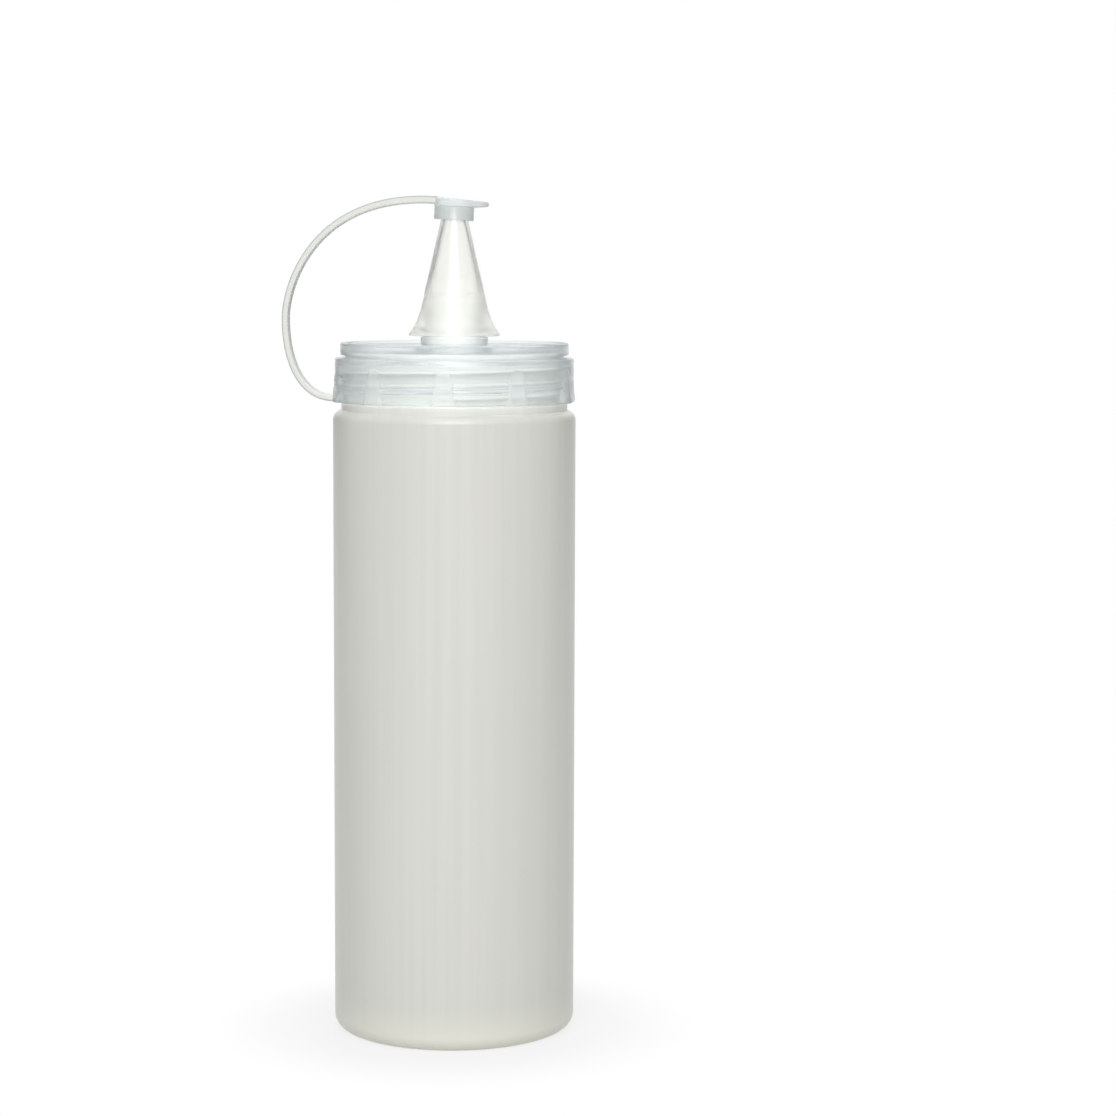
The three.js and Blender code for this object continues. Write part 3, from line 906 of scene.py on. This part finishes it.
def tip_cap_cover():
    """Rows from the socket's roof down its wall, up the collar, round the flange and over it."""
    angles = evenly(plain_columns)
    collar = outline([
        (0.5, 0, 0),
        (socket_roof, 0, 0.4),
        (socket_mouth, -collar_length, 0.25),
        (collar_radius, -collar_length, 0.3),
        (collar_radius, 0, 0),
    ], collar_spacing)
    inner = turned(collar, angles)
    reach = belt_radius(angles)
    roll = np.linspace(-np.pi / 2, np.pi / 2, edge_rows)
    edge_out = (reach - flange_edge)[None] + flange_edge * np.cos(roll)[:, None]
    share = np.linspace(1 - middle_share, middle_share, top_rows)
    over_top = share[:, None] * (reach - flange_edge)[None]
    radius = np.vstack([edge_out, over_top])
    x, y = radius * np.cos(angles), radius * np.sin(angles)
    top = flange_thickness - np.clip(x + flange_radius, 0, None) * flange_top_slope
    bottom = np.clip(x, 0, None) * tab_under_slope
    rise = np.concatenate([(1 + np.sin(roll)) / 2, np.ones(len(share))])[:, None]
    whole_roll = np.concatenate([roll, np.full(len(share), np.pi / 2)])
    rounding = flange_edge * np.sin(whole_roll)[:, None]
    low_half = rise < 0.5
    z = np.where(low_half, bottom + flange_edge + rounding, top - flange_edge + rounding)
    flange = np.stack([x, y, z], axis=-1)
    grid = in_place_on_tip(np.concatenate([inner, flange]))
    return closed_piece("tip_cap_cover", grid)


tip_cap = finish_piece(tip_cap_cover(), cap_ldpe, "cap_ldpe", "tip_cap")
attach(tip_cap, "cap")

# %% [markdown]
# The strap
#
# The strap is one flexible band on the real thing. Its line is two Bezier curves that meet,
# upright, where it swings out farthest. In the working model it is five stiff links, because that
# model can only hinge, and the links turn about lines on the band's outer face. So the band is made
# in stretches from hinge to hinge. A wedge would open between them on the inner side when the cap
# is pulled aside, so each stretch ends in a knuckle that turns about the hinge's line and fills it,
# hidden in the next one at rest.

# %% The strap's line
strap_thickness = 1.8
strap_thickness_at_cap = 2.15
strap_width = 5
strap_corner = 0.5
strap_reach = 13.9
strap_side_share = 0.4
strap_root_angle = np.radians(184)
root_pull_share = 0.59
low_pull_share = 0.665
high_pull_share = 0.28
cap_pull_share = 0.81
root_bite = 0.1
cap_bite = 0.6
curve_points = 300

root = -skirt_radius + 1j * (skirt_bottom + strap_thickness / 2)
cap_edge = in_place_on_tip(np.array([-flange_radius, 0, flange_thickness - strap_thickness / 2]))
cap_end = cap_edge[0] + 1j * cap_edge[2]
rise_below = (cap_end - root).imag * strap_side_share
rise_above = (cap_end - root).imag - rise_below
farthest = -body_radius - strap_reach + 1j * (root.imag + rise_below)
arrive = np.exp(-1j * cap_tilt)
root_pull = root + np.exp(1j * strap_root_angle) * strap_reach * root_pull_share
low_pull = farthest - 1j * rise_below * low_pull_share
high_pull = farthest + 1j * rise_above * high_pull_share
cap_pull = cap_end + arrive * (farthest - cap_end).real * cap_pull_share
lower = bezier([root, root_pull, low_pull, farthest], curve_points)
upper = bezier([farthest, high_pull, cap_pull, cap_end], curve_points)
strap_line = np.concatenate([lower, upper[1:]])
strap_way = np.concatenate([[0], np.cumsum(abs(np.diff(strap_line)))])
strap_length = strap_way[-1]
heading_step = 0.2
print("strap", round(strap_length, 2), "mm long")


def along_strap(way):
    """The centre line at lengths from the strap's root, as x plus i z, and its direction there."""
    def at(s):
        x = np.interp(s, strap_way, strap_line.real)
        return x + 1j * np.interp(s, strap_way, strap_line.imag)

    ahead = at(np.minimum(way + heading_step, strap_length))
    heading = ahead - at(np.maximum(way - heading_step, 0))
    return at(way), heading / abs(heading)


# %% Divide the strap at its hinges
root_stub = 3
cap_stub = 2.9

strap_links = sum(name.startswith("strap_link") for name in frame["nodes"])
link_numbers = range(1, strap_links + 1)
last_hinge = strap_length - cap_stub
link_length = (last_hinge - root_stub) / strap_links
hinges = root_stub + link_length * np.arange(strap_links + 1)
joins = np.concatenate([[0], hinges, [strap_length]])
joints = frame["record"]["behaviour"]["joints"]
strap_joints = [joint for joint in joints if joint["axis"] == [0, -1, 0]]
bodies = ["lid", *[f"strap_{i}" for i in link_numbers], "cap"]
stands_for = ["screw_lid", *[f"strap_link_{i}" for i in link_numbers], "tip_cap"]
print("hinges in mm from the root:", hinges.round(2).tolist())

# %% Make the strap's stretches
section_spacing = 0.8
stretch_spacing = 0.35
knuckle_size = 0.96
knuckle_steps = 8
knuckle_extra_deg = 4
corner_blur = 0.1

section = outline([
    (strap_thickness / 2, -strap_width / 2, strap_corner),
    (strap_thickness / 2, strap_width / 2, strap_corner),
    (-strap_thickness / 2, strap_width / 2, strap_corner),
    (-strap_thickness / 2, -strap_width / 2, strap_corner),
], section_spacing, loop=True)


def strap_stretch(name, start, end, joint):
    """The rounded section carried along the strap's line, a little thicker towards the cap.

    At a joint the last section, shrunk to knuckle_size, is turned on about the hinge's line by
    steps up to a little past the joint's range. Turning p about h by the angle a gives
    h + (p - h) exp(i a). The line where the outer face turns the corner is marked, like thick
    plastic elsewhere, to carry a greyer line of painted shade.
    """
    way = np.linspace(start, end, int((end - start) / stretch_spacing) + 2)
    centre, heading = along_strap(np.clip(way, 0, strap_length))
    beyond = way - np.clip(way, 0, strap_length)
    centre = centre + heading * beyond
    swell = (strap_thickness_at_cap / strap_thickness - 1) * smooth(2 * way / strap_length - 1)
    place = centre[:, None] + 1j * heading[:, None] * section.real[None] * (1 + swell[:, None])
    across = section.imag[None] + 0 * place.real
    if joint:
        hinge = (joint["pos_m"][0] + 1j * joint["pos_m"][2]) / MM
        full_turn = joint["range_deg"][1] + knuckle_extra_deg
        turns = np.exp(1j * np.radians(np.linspace(0, full_turn, knuckle_steps)))[:, None]
        last = centre[-1] + knuckle_size * (place[-1:] - centre[-1])
        place = np.vstack([place, hinge + (last - hinge) * turns])
        across = np.vstack([across, knuckle_size * (section.imag[None] + 0 * turns.real)])
    grid = np.stack([place.real, across, place.imag], axis=-1)
    # The outer corner gets a greyer line of painted shade in the finish.
    at_side = smooth((abs(section.imag) - strap_width / 2 + strap_corner) / corner_blur)
    at_outer_face = smooth(section.real / strap_thickness * 3 - 0.5)
    corner = (at_side * at_outer_face)[None] + 0 * place.real
    return closed_piece(name, grid, thick_or_shaded_edge=corner)


for i, (body, node, joint) in enumerate(zip(bodies, stands_for, [*strap_joints, None])):
    start = joins[i] - (root_bite if body == "lid" else 0)
    end = joins[i + 1] + (cap_bite if body == "cap" else 0)
    stretch = strap_stretch(f"strap_stretch_{i + 1}", start, end, joint)
    finish_piece(stretch, strap_ldpe, "strap_ldpe", node)
    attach(stretch, body)

# %% [markdown]
# The studio
#
# The picture was taken on a white sweep. A large soft light hangs in front, above the camera. A
# narrow one, higher up, draws the bright line on the shoulder and on the edges that face up. A
# weaker one behind lights the back and shines through the clear plastic, and no shine shows it.
#
# The room fills in the rest. It gives a trace of cool green and more from above than from the
# sides. Dark flags at its four corners show in the shine near the sides of the bottle, which keeps
# its edges from being lost in the white. The white behind the bottle is not light that falls on it:
# the room is that bright only to rays that come from the camera, or that reach it through plastic
# or by way of a shine, and dim to all others.

# %% Room light
fill_strength = 0.17
fill_from_above = 0.3
fill_colour = 0xF4FBF8
pure_white = 0xFFFFFF
flag_brightness = 0.35
flag_edge_share, flag_core_share = 0.6, 0.95


def seen_directly(tree):
    """1 for rays from the camera, by a shine or through plastic, and 0 for scattered light."""
    rays = add_node(tree, "ShaderNodeLightPath").outputs
    seen = add_node(
        tree, "ShaderNodeMath", {"operation": "MAXIMUM"},
        in_0=rays["Is Glossy Ray"], in_1=rays["Is Transmission Ray"],
    ).outputs["Value"]
    seen = add_node(
        tree, "ShaderNodeMath", {"operation": "MAXIMUM"}, in_0=seen, in_1=rays["Is Camera Ray"]
    ).outputs["Value"]
    unscattered = add_node(
        tree, "ShaderNodeMath", {"operation": "LESS_THAN"}, in_0=rays["Diffuse Depth"], in_1=0.5
    ).outputs["Value"]
    return add_node(
        tree, "ShaderNodeMath", {"operation": "MULTIPLY"}, in_0=seen, in_1=unscattered
    ).outputs["Value"]


# %% Build the room
# The product of a direction's x and y is largest, one half, towards a corner at eye level.
room = bpy.data.worlds.new("studio_room")
bpy.context.scene.world = room
room.use_nodes = True
room.cycles.sampling_method = "NONE"
tree = room.node_tree
tree.nodes.clear()
direction = add_node(
    tree, "ShaderNodeSeparateXYZ",
    Vector=add_node(tree, "ShaderNodeTexCoord").outputs["Generated"],
)
diagonal = add_node(
    tree, "ShaderNodeMath", {"operation": "MULTIPLY"},
    in_0=direction.outputs["X"], in_1=direction.outputs["Y"],
).outputs["Value"]
diagonal = add_node(
    tree, "ShaderNodeMath", {"operation": "ABSOLUTE"}, in_0=diagonal
).outputs["Value"]
wall_or_flag = add_node(
    tree, "ShaderNodeMapRange", {"interpolation_type": "SMOOTHSTEP"},
    Value=diagonal, From_Min=flag_edge_share / 2, From_Max=flag_core_share / 2,
    To_Min=1, To_Max=flag_brightness,
).outputs["Result"]
wall = add_node(
    tree, "ShaderNodeMath", {"operation": "MAXIMUM"}, in_0=wall_or_flag,
    in_1=add_node(tree, "ShaderNodeLightPath").outputs["Is Camera Ray"],
).outputs["Value"]
upward = add_node(
    tree, "ShaderNodeMath", {"operation": "MAXIMUM"}, in_0=direction.outputs["Z"], in_1=0.0
).outputs["Value"]
ceiling = add_node(
    tree, "ShaderNodeMath", {"operation": "MULTIPLY"}, in_0=upward, in_1=upward
).outputs["Value"]
fill = add_node(
    tree, "ShaderNodeMath", {"operation": "MULTIPLY_ADD"},
    in_0=ceiling, in_1=fill_from_above, in_2=fill_strength,
).outputs["Value"]
brightness = add_node(
    tree, "ShaderNodeMix", Factor=seen_directly(tree), in_2=fill, in_3=wall
).outputs[0]
tint = add_node(
    tree, "ShaderNodeMix", {"data_type": "RGBA"},
    Factor=seen_directly(tree), in_6=linear(fill_colour), in_7=linear(pure_white),
).outputs[2]
white = add_node(tree, "ShaderNodeBackground", Color=tint, Strength=brightness)
add_node(tree, "ShaderNodeOutputWorld", Surface=white.outputs["Background"])
print("room fill", fill_strength)

# %% Soft lights
light_distance = 2.2
light_azimuth = camera_azimuth - np.radians(2)


def softbox(name, width, depth, azimuth, elevation, radiance):
    """A rectangular light in metres, aimed at the bottle's middle from a direction.

    Radiance 1 is as bright as the white room. A flat light of area A that shines with radiance L
    gives out pi times A times L watts. Plastic doesn't show the light itself behind it.
    """
    lamp = bpy.data.lights.new(name, "AREA")
    lamp.shape = "RECTANGLE"
    lamp.size, lamp.size_y = width, depth
    lamp.energy = np.pi * width * depth * radiance
    light = bpy.data.objects.new(name, lamp)
    bpy.context.scene.collection.objects.link(light)
    across = light_distance * np.cos(elevation)
    target = Vector((0, 0, body_height / 2 * MM))
    offset = Vector((
        across * np.sin(azimuth), -across * np.cos(azimuth), light_distance * np.sin(elevation)
    ))
    light.location = target + offset
    light.rotation_mode = "QUATERNION"
    light.rotation_quaternion = offset.to_track_quat("Z", "Y")
    light.visible_transmission = False
    print(name, round(lamp.energy, 1), "W")
    return light


softbox("front_light", width=1.2, depth=1.0,
        azimuth=light_azimuth, elevation=np.radians(32), radiance=6.8)
back_light = softbox("back_light", width=1.2, depth=1.0,
                     azimuth=np.radians(180), elevation=np.radians(35), radiance=3.5)
back_light.visible_glossy = False
softbox("shoulder_light", width=1.0, depth=0.15,
        azimuth=light_azimuth, elevation=np.radians(62), radiance=14)

# %% [markdown]
# The floor
#
# The bottle stands on white card. Its faint shadow stays close to the foot and the card then runs
# out into pure white. So the card's own shading is shown near the bottle only, and it fades with
# distance into the same white as the room, for the same kinds of rays.

# %% Make the floor
floor_radius = 3.0
floor_sides = 64
shadow_reach = 0.075
near_white_share = 0.78
card_colour = 0xDCDCDA

floor_card, tree, output = new_material("white_card_floor")
place = add_node(tree, "ShaderNodeTexCoord").outputs["Object"]
away = add_node(
    tree, "ShaderNodeVectorMath", {"operation": "LENGTH"}, in_0=place
).outputs["Value"]
fade = add_node(
    tree, "ShaderNodeMapRange", {"interpolation_type": "SMOOTHSTEP"},
    Value=away, From_Min=body_radius * MM, From_Max=shadow_reach,
    To_Min=near_white_share, To_Max=1,
).outputs["Result"]
white_share = add_node(
    tree, "ShaderNodeMath", {"operation": "MULTIPLY"}, in_0=seen_directly(tree), in_1=fade
).outputs["Value"]
card = add_node(tree, "ShaderNodeBsdfDiffuse", Color=linear(card_colour)).outputs["BSDF"]
glow = add_node(
    tree, "ShaderNodeEmission", Color=linear(pure_white), Strength=1.0
).outputs["Emission"]
shown = add_node(
    tree, "ShaderNodeMixShader", Fac=white_share, in_1=card, in_2=glow
).outputs["Shader"]
tree.links.new(shown, output.inputs["Surface"])

floor_mesh = bpy.data.meshes.new("floor")
rim = floor_radius * np.exp(1j * evenly(floor_sides))
rim_points = np.stack([rim.real, rim.imag, 0 * rim.real], axis=-1).tolist()
floor_mesh.from_pydata(rim_points, [], [list(range(floor_sides))])
floor_mesh.materials.append(floor_card)
floor = bpy.data.objects.new("floor", floor_mesh)
bpy.context.scene.collection.objects.link(floor)
print("floor", 2 * floor_radius, "m across")

# %% [markdown]
# Ready for the picture
#
# The colours are shown as they are, with no film look.

# %% Finish
bpy.context.scene.view_settings.view_transform = "Standard"
